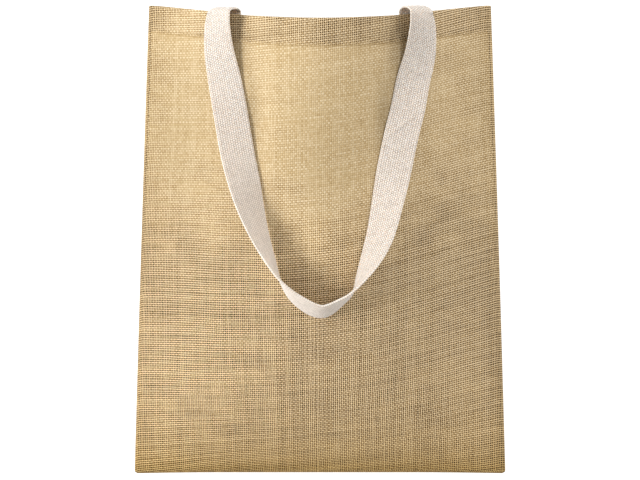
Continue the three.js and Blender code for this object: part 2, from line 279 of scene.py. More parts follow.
def softness(x, y):
    """Low waves of the handled cloth, as a sum of three slanted sines of different lengths."""
    first = np.sin(x / 19 + y / 47 + 0.8) * np.sin(y / 33 - x / 71)
    second = np.sin(y / 12.5 + 0.9 * np.sin(x / 23)) * np.sin(x / 16 + 1.1)
    return 0.28 * first + 0.1 * second


def front_face(x, y):
    """Outer face of the front panel, as a height for each x and y."""
    share = np.clip(np.abs(x) / half_width(y), 0, 1)
    inside = roll_share(x, y)
    dome = dome_rise(y) * dome_section(share, y)
    relief = HEM_RIDGE * hem_share(front_mouth(x) - y) + swells(x, y) + seat_flattening(x, y)
    relief = relief + puckers(x, y) + softness(x, y)
    return seam_height(x, y) + EDGE_ROLL["height"] * inside + dome + relief * inside


def back_face(x, y):
    """Outer face of the back panel, which is its underside."""
    side = to_sides(x, y)
    bottom = np.maximum(0, from_bottom(y))
    side_rise = lerp(flank(1 - side / half_width(y)), np.exp(-side / EDGE_ROLL["reach"]), FLANK["edge_share"])
    slope = np.clip(1 - bottom / HEEL["length"], 0, 1) ** HEEL["power"]
    end_rise = lerp(slope, np.exp(-bottom / EDGE_ROLL["reach"]), HEEL["edge_share"])
    sides = side_rise * side_seam_height(y)
    lifted = np.clip(side_rise + end_rise, 0, 1)
    return (
        sides
        + end_rise * bottom_seam_height(x)
        - side_rise * end_rise * CORNER_SEAM_HEIGHT
        + puckers(x, y) * lifted
    )


def panel_thickness(x, y, to_mouth):
    hem = hem_share(to_mouth) * smoothstep(to_sides(x, y), 0, HEM_THINNING)
    return lerp(CLOTH, HEM_THICKNESS, hem)


def upward_normals(face, x, y):
    """Unit normals of a face, from its slopes over half a millimetre."""
    step = 0.25
    slope_x = (face(x + step, y) - face(x - step, y)) / (2 * step)
    slope_y = (face(x, y + step) - face(x, y - step)) / (2 * step)
    normals = np.stack([-slope_x, -slope_y, np.ones_like(slope_x)], axis=-1)
    return normals / np.linalg.norm(normals, axis=-1, keepdims=True)


def inner_face(face, mouth, side):
    """The other side of a panel, straight below (side -1) or above (side 1) its outer face."""

    def height(x, y):
        upright = upward_normals(face, x, y)[..., 2]
        return face(x, y) + side * panel_thickness(x, y, mouth(x) - y) / upright

    return height


# Meshes


def quads_of_grid(rows, columns, around=False):
    """Faces of a grid of points, numbered row by row. around joins the last column to the first."""
    across = columns if around else columns - 1
    row, column = np.meshgrid(np.arange(rows - 1), np.arange(across), indexing="ij")
    beside = (column + 1) % columns
    corners = [row * columns + column, row * columns + beside]
    corners += [(row + 1) * columns + beside, (row + 1) * columns + column]
    return np.stack(corners, axis=-1).reshape(-1, 4)


def signed_volume(points, quads):
    """A sum over the faces of a tetrahedron from the origin to each."""
    a, b, c, d = (points[quads[:, k]] for k in range(4))
    first = np.einsum("ij,ij->i", a, np.cross(b, c))
    second = np.einsum("ij,ij->i", a, np.cross(c, d))
    return (first + second).sum() / 6


def new_object(name, points, quads, smooth_below=50):
    """A mesh object from points in millimetres. Faces are turned to point out of the closed body."""
    if signed_volume(points, quads) < 0:
        quads = quads[:, ::-1]
    mesh = bpy.data.meshes.new(name)
    mesh.from_pydata(points * METRES, [], quads.tolist())
    mesh.shade_smooth()
    mesh.set_sharp_from_angle(angle=np.radians(smooth_below))
    thing = bpy.data.objects.new(name, mesh)
    bpy.context.scene.collection.objects.link(thing)
    return thing


def give_numbers(thing, **numbers):
    """Stores named numbers for each point of the mesh, for its material to read."""
    for name, values in numbers.items():
        attribute = thing.data.attributes.new(name, "FLOAT", "POINT")
        attribute.data.foreach_set("value", values.astype(np.float32).ravel())


def lofted(sections):
    """Joins closed sections, rows of points of equal count, into a tube, and zips both of its ends shut."""
    rows, size = sections.shape[:2]
    k = np.arange(size // 2 - 1)
    zip_end = np.stack([k, k + 1, size - 2 - k, size - 1 - k], axis=-1)
    sides = quads_of_grid(rows, size, around=True)
    return np.concatenate([sides, zip_end[:, ::-1], zip_end + (rows - 1) * size])


# Panels

COLUMNS = 200
BODY_ROWS = 190
HEM_ROWS = 16


def column_shares():
    """Shares of the half width, evenly spaced in the middle and closer next to the seams."""
    even = np.linspace(-1, 1, COLUMNS + 1)
    return lerp(even, np.sin(np.pi * even / 2), 0.55)


def panel_rows(mouth_y):
    """y of each row and column: body rows up to the hem, and hem rows, closer at its step and its nose."""
    k = np.arange(BODY_ROWS) / BODY_ROWS
    up = lerp(k, 1 - np.cos(np.pi * k / 2), 0.45)[:, None]
    body = lerp(-HALF_LENGTH, mouth_y - HEM_DEPTH, up)
    step = HEM_DEPTH - HEM_STEP * np.array([0, 0.25, 0.5, 0.75, 1])
    level = np.linspace(HEM_DEPTH - HEM_STEP, HEM_NOSE, HEM_ROWS)[1:]
    nose = HEM_NOSE * (1 - np.sin(np.pi / 2 * np.array([0.3, 0.55, 0.75, 0.9, 0.97])))
    to_mouth = np.concatenate([step, level, nose])[:, None]
    return np.concatenate([body, mouth_y - to_mouth]), up


def arc_lengths(points, axis):
    """Length along the grid lines of one axis, from their first point."""
    steps = np.linalg.norm(np.diff(points, axis=axis), axis=-1)
    start = np.zeros_like(np.take(steps, [0], axis=axis))
    return np.concatenate([start, np.cumsum(steps, axis=axis)], axis=axis)


FLAT_WIDTH = 354

# Where the weave of the front panel stands open: x, y, reach along x, reach along y, share
OPEN_PLACES = [
    (-125, 200, 34, 26, -0.3),
    (110, 40, 40, 60, 0.25),
    (40, 190, 60, 24, 0.15),
    (20, -50, 90, 40, 0.15),
    (10, 100, 45, 70, -0.25),
    (-125, 110, 18, 40, -0.15),
    (125, 130, 40, 60, 0.12),
]


def openness(x, y, edge, to_mouth):
    """How far the threads stand apart: more in the lower half, in the hem and beside the seams."""
    total = 0.2 + 0.6 * smoothstep(-y, -90, 60) + 0.5 * hem_share(to_mouth) + 0.35 * np.exp(-edge / 14)
    return np.clip(total + spread(OPEN_PLACES, x, y), 0, 1)


CLOTH_TONE = 0.82

# Where the cloth of the front panel is lighter or darker, partly painted shadow and painted light: x, y,
# reach along x, reach along y, share
TONE_LIGHT_AND_SHADE_PLACES = [
    (0, -130, 170, 110, 0.14),
    (-155, -170, 60, 70, 0.14),
    (-130, 80, 50, 90, -0.12),
    (10, 80, 60, 90, -0.11),
    # painted light, lifting the handle's shade inside the loop above its bottom
    (-6, -40, 44, 34, 0.16),
    (30, 200, 140, 16, 0.13),
    # painted shadow along the inner edges of the front handle's two legs
    (-71, 168, 7, 30, -0.16),
    (-60, 114, 7, 34, -0.16),
    (67, 162, 8, 34, -0.22),
    (56, 106, 7, 34, -0.2),
    # painted light, lifting the shade of the loop's left leg inside the loop
    (-15, -12, 26, 30, 0.12),
]
SIDE_TONE = {"share": -0.07, "reach": 8}
# painted shade: the cloth is darker along the bottom, where the panel turns down to the bottom seam
BOTTOM_PAINTED_SHADE = {"share": -0.2, "reach": 20}
INSIDE_TONE = -0.1

# Golden tinge of the cloth along the seams and on its inside; along the bottom it colours the painted shade
# there
WARMTH = {"bottom": 1.0, "bottom_reach": 30, "side": 0.35, "side_reach": 10, "inside": 0.3}

# Where upright threads stand out (share over 0) or level ones: x, y, reach along x, reach along y, share
UPRIGHT_PLACES = [
    (15, -130, 80, 90, 0.8),
    (100, -170, 50, 40, 0.5),
    (0, 200, 90, 30, 0.4),
    (20, 100, 50, 90, 0.6),
    (-150, 100, 20, 200, 0.4),
]


def spread(places, x, y):
    """A sum of shares that fade out around their places as Gaussian bells."""
    total = np.zeros(np.broadcast_shapes(x.shape, y.shape))
    for at_x, at_y, along_x, along_y, share in places:
        total = total + share * np.exp(-(((x - at_x) / along_x) ** 2) - ((y - at_y) / along_y) ** 2)
    return total


def tone_light_and_shade_of_cloth(x, y):
    # real tone of the cloth, with painted shade along the bottom and painted shadow and painted light in
    # places
    bottom = BOTTOM_PAINTED_SHADE["share"] * np.exp(-from_bottom(y) / BOTTOM_PAINTED_SHADE["reach"])
    side = SIDE_TONE["share"] * np.exp(-to_sides(x, y) / SIDE_TONE["reach"])
    return CLOTH_TONE + bottom + side + spread(TONE_LIGHT_AND_SHADE_PLACES, x, y)


def warmth_of_cloth(y, edge):
    bottom = WARMTH["bottom"] * np.exp(-from_bottom(y) / WARMTH["bottom_reach"])
    return bottom + WARMTH["side"] * np.exp(-edge / WARMTH["side_reach"])


def panel(name, face, mouth, side):
    """A panel as a closed sheet: a grid on its outer face, one on its inner face, and blunt edges between.

    side is -1 where the cloth lies under the given face and 1 where it lies over it.
    """
    share = column_shares()[None, :]
    mouth_y = mouth(share * MOUTH_HALF_WIDTH)
    y, up = panel_rows(mouth_y)
    x = share * half_width(y)
    to_mouth = mouth_y - y
    thickness = panel_thickness(x, y, to_mouth)
    normals = upward_normals(face, x, y)

    def seam_level(x, y):
        return seam_height(x, y) - side * SEAM_GAP / 2

    # the nose of the folded hem is half a circle
    radius = thickness / 2
    in_nose = np.clip(1 - to_mouth / radius, 0, 1)
    inset = radius * (1 - np.sqrt(1 - in_nose**2))
    outer = np.stack([x, y, face(x, y)], axis=-1) + side * normals * inset[..., None]

    inner_y = y.copy()
    inner_y[: len(up)] = lerp(-HALF_LENGTH + SEAM_MITRE, mouth_y - HEM_DEPTH, up)
    inner_x = share * (half_width(inner_y) - SEAM_MITRE)
    upright = np.maximum(upward_normals(face, inner_x, inner_y)[..., 2], 0.45)
    depth = (panel_thickness(inner_x, inner_y, to_mouth) - inset) / upright
    inner_z = face(inner_x, inner_y) + side * depth
    limit = seam_level(inner_x, inner_y)
    inner_z = np.maximum(inner_z, limit) if side < 0 else np.minimum(inner_z, limit)
    inner = np.stack([inner_x, inner_y, inner_z], axis=-1)

    rim = np.zeros(x.shape, bool)
    rim[0], rim[:, 0], rim[:, -1] = True, True, True
    outer[..., 2] = np.where(rim, seam_level(x, y), outer[..., 2])
    inner[..., 2] = np.where(rim, limit, inner[..., 2])

    across = arc_lengths(outer, axis=1)
    across = (across / across[:, -1:] - 0.5) * FLAT_WIDTH
    along = arc_lengths(outer, axis=0)
    down = along[-1:] - along
    edge = np.minimum(FLAT_WIDTH / 2 - np.abs(across), along)

    sections = np.concatenate([outer, inner[:, ::-1]], axis=1)
    thing = new_object(name, sections.reshape(-1, 3), lofted(sections))


    def both_sides(numbers, extra_inside=0.0):
        return np.concatenate([numbers, numbers[:, ::-1] + extra_inside], axis=1)

    give_numbers(
        thing,
        across=both_sides(across),
        down=both_sides(down),
        edge=both_sides(edge),
        openness=both_sides(openness(x, y, edge, down)),
        upright=both_sides(spread(UPRIGHT_PLACES, x, y)),
        tone=both_sides(tone_light_and_shade_of_cloth(x, y), INSIDE_TONE),
        warmth=both_sides(warmth_of_cloth(y, edge), WARMTH["inside"]),
    )
    return thing


# Handles


def catmull_rom(rows, count):
    """Points along a uniform Catmull-Rom curve through the rows, mirrored beyond its end rows."""
    rows = np.array(rows, float)
    padded = np.concatenate([[2 * rows[0] - rows[1]], rows, [2 * rows[-1] - rows[-2]]])
    place = np.linspace(0, len(rows) - 1, count)
    k = np.minimum(place.astype(int), len(rows) - 2)
    t = (place - k)[:, None]
    p0, p1, p2, p3 = (padded[k + j] for j in range(4))
    s0, s1 = (p2 - p0) / 2, (p3 - p1) / 2
    return p1 + s0 * t + (3 * (p2 - p1) - 2 * s0 - s1) * t**2 + (2 * (p1 - p2) + s0 + s1) * t**3


def across_directions(outward, tilt):
    """Unit directions from the middle of the webbing to its outer edge, turned by the tilt about its run."""
    level = outward / np.linalg.norm(outward, axis=-1, keepdims=True)
    turn = np.radians(tilt)[:, None]
    return level * np.cos(turn) + np.array([0, 0, -1]) * np.sin(turn)


def resting_heights(face, middle, across, side, gap):
    """Height at which lines across the webbing just rest on (side 1) or hang under (side -1) a face."""
    w = WEBBING_WIDTH * np.linspace(-0.5, 0.5, 13)[:, None]
    level = face(middle[:, 0] + w * across[:, 0], middle[:, 1] + w * across[:, 1]) - w * across[:, 2]
    extreme = level.max(axis=0) if side > 0 else level.min(axis=0)
    return extreme + side * (gap + WEBBING / 2)


STATIONS_PER_ROW = 15


def loop_stations(route, rest, mouth):
    """Middles and directions across of the part of a handle that lies on a face."""
    here = catmull_rom(route, (len(route) - 1) * STATIONS_PER_ROW + 1)
    run = np.gradient(here[:, :2], axis=0)
    outward = np.stack([run[:, 1], -run[:, 0], np.zeros(len(run))], axis=-1)
    across = across_directions(outward, here[:, 2])
    to_mouth = mouth(here[:, 0]) - here[:, 1]
    near_mouth = 1 - smoothstep(to_mouth, MOUTH_APPROACH["to"], MOUTH_APPROACH["from"])
    gap = lerp(LYING_GAP, EDGE_CLEARANCE, near_mouth)
    middle = np.concatenate([here[:, :2], np.zeros((len(here), 1))], axis=1)
    heights = resting_heights(rest, middle, across, 1, gap)
    middle[:, 2] = evened(heights)
    return middle, across


def evened(heights):
    """A running mean, which never lets a height sink under where it was."""
    reach = 2 * STATIONS_PER_ROW // 3
    for _ in range(2):
        padded = np.pad(heights, reach, mode="edge")
        mean = np.convolve(padded, np.full(2 * reach + 1, 1 / (2 * reach + 1)), mode="valid")
        heights = np.maximum(heights, mean)
    return heights


SEWN_STATIONS = 8
CURL_STATIONS = 40


def end_stations(ends, sewn_face, sewn_side, mouth, sideways, first):
    """One end: sewn flat to the hem, then round in half a turn to the loop's first station.

    Gives middles, directions across, and how far the outer edge droops behind the top of the curl.
    """
    x = sideways * ends["x"]
    edge = mouth(x)
    shares = np.linspace(1, 0, SEWN_STATIONS + 1)
    flat_tilt = np.full(len(shares), ends["tilt"])
    outward = np.array([[sideways, 0, 0]])
    across = across_directions(np.repeat(outward, len(shares), axis=0), flat_tilt)
    y = edge - SEWN_INSET - shares * SEWN_LENGTH
    middle = np.stack([np.full(len(shares), x), y, 0 * shares], axis=-1)
    middle[:, 2] = resting_heights(sewn_face, middle, across, sewn_side, CONTACT_GAP)
    start = middle[-1].copy()
    start[1] = edge + CURL_START
    first_middle, first_across = first
    first_tilt = np.degrees(np.arcsin(-first_across[2]))
    turn = np.pi * np.arange(CURL_STATIONS) / CURL_STATIONS
    done = (1 - np.cos(turn))[:, None] / 2
    curl = lerp(start, first_middle, done)
    curl[:, 1] += ends["reach"][sideways] * np.sin(turn)
    curl_tilt = lerp(ends["tilt"], first_tilt, done[:, 0])
    curl_across = across_directions(np.repeat(outward, len(turn), axis=0), curl_tilt)
    droop = np.concatenate([np.zeros(SEWN_STATIONS), CURL_DROOP * np.sin(turn)])
    return np.concatenate([middle[:-1], curl]), np.concatenate([across[:-1], curl_across]), droop


# Soft creases of the front handle's right leg: place across it, y, slant, half length, reach, height
CREASES = [
    (-2.5, 100, 0.93, 10, 2, 1.3),
    (6, 148, -0.15, 12, 2.4, 1.2),
]


def creases(w, x, y):
    """Ridges over straight lines that cross the webbing aslant, each a bell across its line and along it."""
    total = np.zeros(np.broadcast_shapes(w.shape, x.shape))
    for at_w, at_y, slant, half_length, reach, height in CREASES:
        past = (y - at_y - slant * (w - at_w)) / reach
        total = total + height * np.exp(-(past**2) - ((w - at_w) / half_length) ** 2)
    return total * (x > 0)


def webbing_profile():
    """Across and up shares of a section: two level faces, thicker round selvedges, and blunt sides."""
    level = np.linspace(1, -1, 33)
    edge = 1 - np.abs(level)
    selvedge = (1 - FLAT_OF_WEBBING) * np.exp(-((edge / 0.05 - 1) ** 2))
    thick = FLAT_OF_WEBBING + selvedge - 0.6 * np.exp(-edge / 0.012)
    top = np.stack([level, thick], axis=-1)
    return np.concatenate([top, top[::-1] * [1, -1]])


def handle(name, route, ends, sewn_face, sewn_side, rest, mouth, with_creases=False):
    """A webbing handle: one profile carried along the sewn ends, the curls and the loop.

    sewn_side is -1 where its ends are sewn under the sewn face, and 1 where they are sewn on top of it.
    """
    loop, loop_across = loop_stations(route, rest, mouth)
    left = end_stations(ends, sewn_face, sewn_side, mouth, -1, (loop[0], loop_across[0]))
    right = end_stations(ends, sewn_face, sewn_side, mouth, 1, (loop[-1], loop_across[-1]))
    middle = np.concatenate([left[0], loop, right[0][::-1]])
    across = np.concatenate([left[1], loop_across, right[1][::-1]])
    droop = np.concatenate([left[2], np.zeros(len(loop)), right[2][::-1]])
    run = np.gradient(middle, axis=0)
    run /= np.linalg.norm(run, axis=-1, keepdims=True)
    up = np.cross(across, run)
    up /= np.linalg.norm(up, axis=-1, keepdims=True)
    profile = webbing_profile()
    half = np.array([WEBBING_WIDTH / 2, WEBBING / 2])
    w, h = (profile * half).T
    sections = middle[:, None] + across[:, None] * w[:, None] + up[:, None] * h[:, None]
    share = w / half[0]
    if with_creases:
        sections += up[:, None] * creases(w, sections[..., 0], sections[..., 1])[..., None]
    sections[..., 1] -= droop[:, None] * (np.clip(share, 0, 1) ** 3 - CURL_LEAN * share)
    thing = new_object(name, sections.reshape(-1, 3), lofted(sections), smooth_below=70)
    along = arc_lengths(middle[:, None], axis=0)
    shape = sections.shape[:2]
    give_numbers(thing, across=np.broadcast_to(w, shape), along=np.broadcast_to(along, shape))
    return thing


def rest_on_front(x, y):
    return front_face(x, np.minimum(y, front_mouth(x) - HEM_NOSE))


back_inner = inner_face(back_face, back_mouth, 1)
front_inner = inner_face(front_face, front_mouth, -1)


def rest_on_back(x, y):
    """Inside of the back panel, raised near the mouth by the sewn ends that the loop lies over."""
    sewn_end = back_mouth(x) - SEWN_LENGTH
    over = smoothstep(y, sewn_end - SEWN_END_RISE, sewn_end)
    return back_inner(x, np.minimum(y, back_mouth(x) - HEM_NOSE)) + over * (WEBBING + CONTACT_GAP)


# Sewing thread

STITCH = {"length": 2.8, "pitch": 3.8, "radius": 0.35, "arch": 0.3}
HEM_STITCH_DEPTH = 22.2
HEM_STITCH_INSET = 6
BOX = {"width": 20, "length": 14}
RING_POINTS = 6
RING_STATIONS = 5


def dashes(path):
    """Starts and ends of stitches along a line of points."""
    length = arc_lengths(path[:, None], axis=0)[:, 0]
    count = int(length[-1] / STITCH["pitch"])
    pitch = length[-1] / count
    gap = pitch - STITCH["length"]
    start = np.arange(count) * pitch + gap / 2
    places = (start, start + pitch - gap)
    return [np.stack([np.interp(place, length, line) for line in path.T], axis=-1) for place in places]


def stitched(paths, ups):
    """Sections of round stitches along lines of points. Each arches up and sinks in at both ends."""
    share = np.linspace(0, 1, RING_STATIONS)[:, None]
    turn = 2 * np.pi * np.arange(RING_POINTS)[:, None] / RING_POINTS
    sections = []
    for path, up in zip(paths, ups):
        starts, ends = dashes(path)
        run = ends - starts
        beside = np.cross(up, run)
        beside /= np.linalg.norm(beside, axis=-1, keepdims=True)
        height = STITCH["arch"] * (2 * np.sin(np.pi * share) - 1) * up
        middle = lerp(starts[:, None], ends[:, None], share) + height
        ring = np.cos(turn) * beside[:, None] + np.sin(turn) * up
        sections.append(middle[:, :, None] + STITCH["radius"] * ring[:, None])
    return np.concatenate(sections)


def hem_line(face, mouth, side):
    """The row that holds the hem down, on the outer face of a panel, and the direction out of the cloth."""
    x = np.linspace(HEM_STITCH_INSET - MOUTH_HALF_WIDTH, MOUTH_HALF_WIDTH - HEM_STITCH_INSET, 300)
    y = mouth(x) - HEM_STITCH_DEPTH
    return [np.stack([x, y, face(x, y)], axis=-1)], [np.array([0, 0, -side])]


def box_lines(surface):
    """A crossed box as straight lines on a surface, which turns places across and along it into points."""
    w, v = BOX["width"] / 2, BOX["length"] / 2
    corners = np.array([(-w, -v), (w, -v), (w, v), (-w, v)])
    pairs = [(0, 1), (1, 2), (2, 3), (3, 0), (0, 2), (1, 3)]
    share = np.linspace(0, 1, 12)[:, None]
    return [surface(*lerp(corners[a], corners[b], share).T) for a, b in pairs]


def end_boxes(ends, sewn_face, sewn_side, mouth):
    """The boxes that hold the two ends of a handle, on the free face of its webbing."""
    paths, ups = [], []
    for sideways in (-1, 1):
        x = sideways * ends["x"]
        across = across_directions(np.array([[sideways, 0.0, 0.0]]), np.array([ends["tilt"]]))[0]
        up = sewn_side * np.array([-across[2] / across[0], 0, 1])
        up /= np.linalg.norm(up)

        def surface(w, v):
            y = mouth(x) - SEWN_INSET - SEWN_LENGTH / 2 + v
            middle = np.stack([np.full(len(v), x), y, 0 * v], axis=-1)
            straight = np.repeat(across[None], len(v), axis=0)
            middle[:, 2] = resting_heights(sewn_face, middle, straight, sewn_side, CONTACT_GAP)
            return middle + w[:, None] * straight + up * FLAT_OF_WEBBING * WEBBING / 2

        lines = box_lines(surface)
        paths += lines
        ups += [up] * len(lines)
    return paths, ups


def thread(name, lines):
    """One mesh of all the stitches of some rows."""
    paths = [path for group, _ in lines for path in group]
    ups = [up for _, group in lines for up in group]
    sections = stitched(paths, ups)
    one = lofted(sections[0])
    size = RING_STATIONS * RING_POINTS
    quads = (one[None] + size * np.arange(len(sections))[:, None, None]).reshape(-1, 4)
    return new_object(name, sections.reshape(-1, 3), quads)


# Materials


class Value:
    """A number in a material's node tree, with arithmetic that adds Math nodes."""

    def __init__(self, tree, socket):
        self.tree, self.socket = tree, socket

    def math(self, operation, *others):
        node = self.tree.nodes.new("ShaderNodeMath")
        node.operation = operation
        for slot, value in zip(node.inputs, (self, *others)):
            if isinstance(value, Value):
                self.tree.links.new(value.socket, slot)
            else:
                slot.default_value = float(value)
        return Value(self.tree, node.outputs[0])

    def __add__(self, other):
        return self.math("ADD", other)

    def __sub__(self, other):
        return self.math("SUBTRACT", other)

    def __mul__(self, other):
        return self.math("MULTIPLY", other)

    def __truediv__(self, other):
        return self.math("DIVIDE", other)

    def __neg__(self):
        return self * -1

    __radd__ = __add__
    __rmul__ = __mul__

    def __rsub__(self, other):
        return self * -1 + other

    def clamped(self):
        return self.math("MAXIMUM", 0).math("MINIMUM", 1)

    def ramp(self, low, high):
        """0 at low and 1 at high, smoothly."""
        node = self.tree.nodes.new("ShaderNodeMapRange")
        node.interpolation_type = "SMOOTHSTEP"
        self.tree.links.new(self.socket, node.inputs["Value"])
        node.inputs["From Min"].default_value = low
        node.inputs["From Max"].default_value = high
        return Value(self.tree, node.outputs["Result"])


def mix(a, b, share):
    return (share * -1 + 1) * a + share * b


class Cloth:
    """A cloth material under construction: its tree, its coordinates on the cloth and its shader."""

    def __init__(self, name, roughness, sheen):
        self.material = bpy.data.materials.new(name)
        self.material.use_nodes = True
        self.tree = self.material.node_tree
        self.shader = self.tree.nodes["Principled BSDF"]
        self.shader.inputs["Roughness"].default_value = roughness
        self.shader.inputs["Sheen Weight"].default_value = sheen
        self.shader.inputs["Sheen Roughness"].default_value = 0.6
        self.shader.inputs["Specular IOR Level"].default_value = 0.15

    def number(self, name):
        """A number that is stored on the mesh."""
        node = self.tree.nodes.new("ShaderNodeAttribute")
        node.attribute_name = name
        return Value(self.tree, node.outputs["Fac"])

    def place(self):
        """The three object coordinates, in metres."""
        node = self.tree.nodes.new("ShaderNodeTexCoord")
        split = self.tree.nodes.new("ShaderNodeSeparateXYZ")
        self.tree.links.new(node.outputs["Object"], split.inputs[0])
        return [Value(self.tree, out) for out in split.outputs]

    def vector(self, *numbers):
        node = self.tree.nodes.new("ShaderNodeCombineXYZ")
        for slot, value in zip(node.inputs, numbers):
            if isinstance(value, Value):
                self.tree.links.new(value.socket, slot)
            else:
                slot.default_value = float(value)
        return node.outputs[0]

    def noise(self, x, y, seed, detail=2.0):
        """Smooth noise from 0 to 1, about one bump for each unit of x and y."""
        node = self.tree.nodes.new("ShaderNodeTexNoise")
        node.inputs["Scale"].default_value = 1.0
        node.inputs["Detail"].default_value = detail
        self.tree.links.new(self.vector(x, y, seed), node.inputs["Vector"])
        return Value(self.tree, node.outputs["Fac"])

    def chance(self, x, y, seed):
        """An unrelated number from 0 to 1 for each x and y."""
        node = self.tree.nodes.new("ShaderNodeTexWhiteNoise")
        node.noise_dimensions = "3D"
        self.tree.links.new(self.vector(x, y, seed), node.inputs["Vector"])
        return Value(self.tree, node.outputs["Value"])

    def colour(self, share, stops):
        """A colour ramp through (place, red, green, blue) stops."""
        node = self.tree.nodes.new("ShaderNodeValToRGB")
        elements = node.color_ramp.elements
        while len(elements) < len(stops):
            elements.new(0.5)
        for element, (place, red, green, blue) in zip(elements, stops):
            element.position = place
            element.color = (red, green, blue, 1)
        self.tree.links.new(share.socket, node.inputs["Fac"])
        return node.outputs["Color"]

    def tinted(self, colour, share, tint):
        """The colour, multiplied by a tint as far as the share says."""
        node = self.tree.nodes.new("ShaderNodeMix")
        node.data_type = "RGBA"
        node.blend_type = "MULTIPLY"
        self.tree.links.new(share.socket, node.inputs["Factor"])
        self.tree.links.new(colour, node.inputs["A"])
        node.inputs["B"].default_value = (*tint, 1)
        return node.outputs["Result"]

    def finish(self, colour, height, depth):
        """Links the colour, and a bump of the given depth in metres."""
        bump = self.tree.nodes.new("ShaderNodeBump")
        bump.inputs["Strength"].default_value = 1.0
        bump.inputs["Distance"].default_value = depth
        self.tree.links.new(height.socket, bump.inputs["Height"])
        self.tree.links.new(bump.outputs["Normal"], self.shader.inputs["Normal"])
        self.tree.links.new(colour, self.shader.inputs["Base Color"])
        return self.material


def thread_shape(place, half_width):
    """1 on the middle of a thread and 0 at its sides, from a place of -0.5 to 0.5 across it."""
    return (1 - (place / half_width).math("POWER", 2)).math("MAXIMUM", 0)


# Colours from the darkest to the lightest place: share, red, green, blue
# the darkest stops are the painted shade of the weave's pinholes and of the sides of its threads
JUTE_COLOURS = [
    (0.0, 0.016, 0.007, 0.001),
    (0.35, 0.21, 0.117, 0.032),
    (0.7, 0.65, 0.465, 0.232),
    (1.0, 0.96, 0.79, 0.522),
]
COTTON_COLOURS = [
    # the darker stops are the painted shade between the beads
    (0.0, 0.13, 0.1, 0.075),
    (0.5, 0.34, 0.285, 0.235),
    (1.0, 0.75, 0.68, 0.61),
]
THREAD_COLOURS = [
    (0.3, 0.34, 0.23, 0.105),
    (0.7, 0.62, 0.47, 0.26),
]
GOLDEN = (1, 0.9, 0.6)


